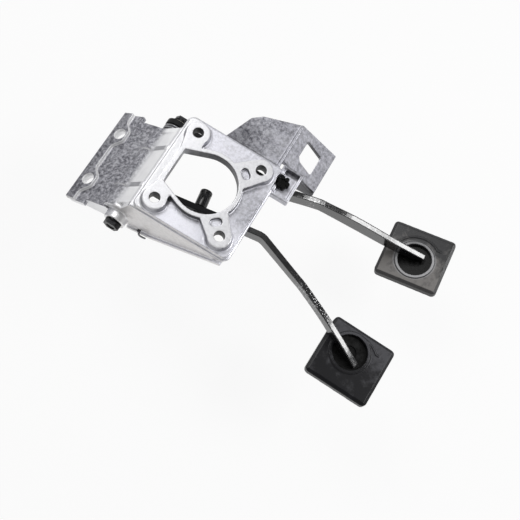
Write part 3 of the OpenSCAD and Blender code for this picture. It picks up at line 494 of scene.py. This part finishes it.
# Painted sheen: the clutch rubber is a paler copy of the brake rubber, for the light its tilted pad
# catches.
clutch_sheen_dark, clutch_sheen_pale = grey(0.016, 0.002), (0.200, 0.190, 0.182)
finish = {
    "casting": cast_aluminium(),
    "brake_paint": arm_paint("brake_paint", 108 * MM, 148 * MM),
    "clutch_paint": arm_paint("clutch_paint", 82 * MM, 92 * MM),
    "satin": black_coat("satin_black", 0.22, 0.2),
    "gloss": black_coat("gloss_black", 0.08, 0.7),
    "brake_rubber": rubber(
        "brake_rubber", grey(0.004, 0.002), grey(0.066, 0.008), 0.35, brake_face, brake_sheen_span
    ),
    "clutch_rubber": rubber(
        "clutch_rubber", clutch_sheen_dark, clutch_sheen_pale, 0.5, clutch_face, clutch_sheen_span, clutch_ring
    ),
    "buffer_rubber": rubber("buffer_rubber", grey(0.002), grey(0.006), 0.1),
    "zinc": plated_steel("zinc_plate", grey(0.52, 0.02), grey(0.78, 0.02), 0.22),
    "oxide": plated_steel("black_oxide", grey(0.008, 0.001), grey(0.032, 0.002), 0.22),
    "wire": plated_steel("spring_wire", grey(0.20, 0.01), grey(0.42, 0.02), 0.25),
    "bush": bush_plastic(),
}


# CAD nodes: soft cast or pressed edges by modifiers, and a finish each

def dress(node, material):
    """Gives a CAD node its finish."""
    mesh = nodes[node].data
    mesh.materials.clear()
    mesh.materials.append(finish[material])


def soften(piece, voxel):
    """Rounds every edge of a cast, pressed or moulded piece by about the voxel size."""
    rounds, pull = 3, 0.5
    remesh = piece.modifiers.new("skin", "REMESH")
    remesh.mode = "VOXEL"
    remesh.voxel_size = voxel
    remesh.use_smooth_shade = True
    smooth = piece.modifiers.new("soft_edges", "SMOOTH")
    smooth.factor = pull
    smooth.iterations = rounds


def chamfer(piece, width):
    """Breaks the sharp edges of a turned or stamped piece."""
    same_point = 0.001 * MM
    sharp_angle = 0.7
    weld = piece.modifiers.new("weld", "WELD")
    weld.merge_threshold = same_point
    bevel = piece.modifiers.new("edge_break", "BEVEL")
    bevel.width = width
    bevel.segments = 2
    bevel.limit_method = "ANGLE"
    bevel.angle_limit = sharp_angle


cast_voxel = 0.6 * MM
arm_voxel = 0.45 * MM
pad_voxel = 0.5 * MM
buffer_voxel = 0.3 * MM
bolt_chamfer = 0.4 * MM
tube_chamfer = 0.3 * MM

dress("bracket_casting", "casting")
soften(nodes["bracket_casting"], cast_voxel)
for pedal in ("brake", "clutch"):
    dress(pedal + "_arm", pedal + "_paint")
    soften(nodes[pedal + "_arm"], arm_voxel)
    dress(pedal + "_hub", pedal + "_paint")
    dress(pedal + "_foot_plate", "satin")
    dress(pedal + "_pad", pedal + "_rubber")
    soften(nodes[pedal + "_pad"], pad_voxel)
    for end in ("near", "far"):
        dress(f"{pedal}_bush_{end}", "bush")
dress("clutch_stop_buffer", "buffer_rubber")
soften(nodes["clutch_stop_buffer"], buffer_voxel)
dress("pushrod_pin", "gloss")
chamfer(nodes["pushrod_pin"], bolt_chamfer)
for part in ("pivot_bolt", "pivot_nut", "pivot_washer"):
    dress(part, "oxide")
    chamfer(nodes[part], bolt_chamfer)
for part in ("distance_tube", "clutch_sleeve"):
    dress(part, "zinc")
    chamfer(nodes[part], tube_chamfer)
for part in ("near_thrust_washer", "middle_thrust_washer", "far_thrust_washer"):
    dress(part, "zinc")


# Return springs: round wire in place of each spring's CAD node, between the bracket and its pedal

def winding_spring(node):
    """Stands for a spring's CAD node, with one leg on the bracket and the other on the pedal."""
    same_point = 0.01 * MM
    mesh = nodes[node].data.copy()
    shape = bmesh.new()
    shape.from_mesh(mesh)
    bmesh.ops.remove_doubles(shape, verts=shape.verts, dist=same_point)
    shape.to_mesh(mesh)
    shape.free()
    mesh.materials.clear()
    mesh.materials.append(finish["wire"])
    mesh.shade_smooth()
    spring = bpy.data.objects.new(node + "_wire", mesh)
    bpy.context.scene.collection.objects.link(spring)
    smooth = spring.modifiers.new("round_wire", "SUBSURF")
    smooth.levels = smooth.render_levels = 1
    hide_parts(node)
    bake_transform(spring)


winding_spring("brake_return_spring")
winding_spring("clutch_return_spring")


# Web under the wing: closes the near side of its sloped end plate

def wing_web():
    """Plate between two planes along Y, with its outline in millimetres along X and Z."""
    near, far = 65.8 * MM, 69.2 * MM
    outline = ((47, -30), (81, -52), (81, -60), (60, -64))
    mesh = bpy.data.meshes.new("wing_web")
    sides = len(outline)
    corners = [(x * MM, y, z * MM) for y in (near, far) for x, z in outline]
    rims = [tuple(range(sides)), tuple(reversed(range(sides, 2 * sides)))]
    walls = [(i, i + sides, (i + 1) % sides + sides, (i + 1) % sides) for i in range(sides)]
    mesh.from_pydata(corners, [], rims + walls)
    mesh.validate()
    mesh.materials.append(finish["casting"])
    web = bpy.data.objects.new("wing_web", mesh)
    bpy.context.scene.collection.objects.link(web)
    soften(web, cast_voxel)
    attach(web, "bracket")


wing_web()


# Stage: pale floor, soft lamps, studio surroundings, and the photograph's camera

def studio_world():
    """White walls to just over the horizon, a dim room above them, and one pale patch of ceiling."""
    fill, dim, patch = 0.35, 0.24, 0.80
    wall_height = (0.26, 0.42)
    patch_from = Vector((-0.32, 0.36, 0.88)).normalized()
    patch_edge = (0.86, 0.97)
    sky = Graph(bpy.data.worlds.new("studio"))
    walls = sky.band(sky.axis("Z", sky.direction), *wall_height, 1.0, dim)
    ceiling = sky.band(sky.along(patch_from, sky.direction), *patch_edge, 0.0, patch)
    shown = sky.math("MAXIMUM", walls, ceiling)
    colour = sky.mix(sky.seen_directly(), grey(fill), shown)
    sky.feed(sky.tree.nodes["Background"].inputs["Color"], colour)
    bpy.context.scene.world = sky.owner


def floor():
    """Matt paper below the part, near white where it is seen, so that it still takes the part's shadow."""
    drop = 60 * MM
    half = 6.0
    white_share = 0.9
    mesh = bpy.data.meshes.new("floor")
    corners = [(-half, -half, 0), (half, -half, 0), (half, half, 0), (-half, half, 0)]
    mesh.from_pydata(corners, [], [(0, 1, 2, 3)])
    plane = bpy.data.objects.new("floor", mesh)
    plane.location.z = cad_low.z - drop
    bpy.context.scene.collection.objects.link(plane)
    paper = Surface("floor_paper")
    paper.set(base_color=grey(0.9), roughness=0.9)
    glow = paper.add("ShaderNodeEmission")
    blend = paper.add("ShaderNodeMixShader")
    paper.feed(blend.inputs[0], paper.math("MULTIPLY", paper.seen_directly(), white_share))
    paper.feed(blend.inputs[1], paper.surface.outputs["BSDF"])
    paper.feed(blend.inputs[2], glow.outputs["Emission"])
    paper.feed(paper.tree.nodes["Material Output"].inputs["Surface"], blend.outputs["Shader"])
    mesh.materials.append(paper.owner)


def softbox(name, direction, distance, size, power):
    """Rectangular lamp aimed at the middle of the part, its width in the plane of the pedals' swing."""
    back = Vector(direction).normalized()
    width = Vector((0, 1, 0)).cross(back).normalized()
    light = bpy.data.lights.new(name, "AREA")
    light.shape = "RECTANGLE"
    light.size, light.size_y = size
    light.energy = power
    holder = bpy.data.objects.new(name, light)
    turn = Matrix((width, back.cross(width), back)).transposed().to_4x4()
    holder.matrix_world = Matrix.Translation((cad_low + cad_high) / 2 + back * distance) @ turn
    bpy.context.scene.collection.objects.link(holder)


def photo_camera():
    """The photograph's camera, with its focal length and frame in pixels."""
    focal, frame_width = 900, 520
    place = Vector((86.56, -287.1, 716.2)) * MM
    right = Vector((0.8565, 0.4923, 0.1552))
    ahead = Vector((-0.0195, 0.3314, -0.9433)).normalized()
    up = right.cross(ahead).normalized()
    right = ahead.cross(up)
    data = bpy.data.cameras.new("camera")
    data.sensor_width = 36.0
    data.lens = focal / frame_width * data.sensor_width
    data.clip_start = 0.01
    camera = bpy.data.objects.new("camera", data)
    turn = Matrix((right, up, -ahead)).transposed().to_4x4()
    camera.matrix_world = Matrix.Translation(place) @ turn
    bpy.context.scene.collection.objects.link(camera)
    bpy.context.scene.camera = camera


studio_world()
floor()
softbox("pedal_side", (0.63, 0.34, 0.70), 1.3, (0.40, 0.42), 6.2)
softbox("pivot_side", (-0.50, 0.33, 0.80), 1.2, (0.60, 0.60), 4.0)
photo_camera()
bpy.context.scene.view_settings.view_transform = "Standard"
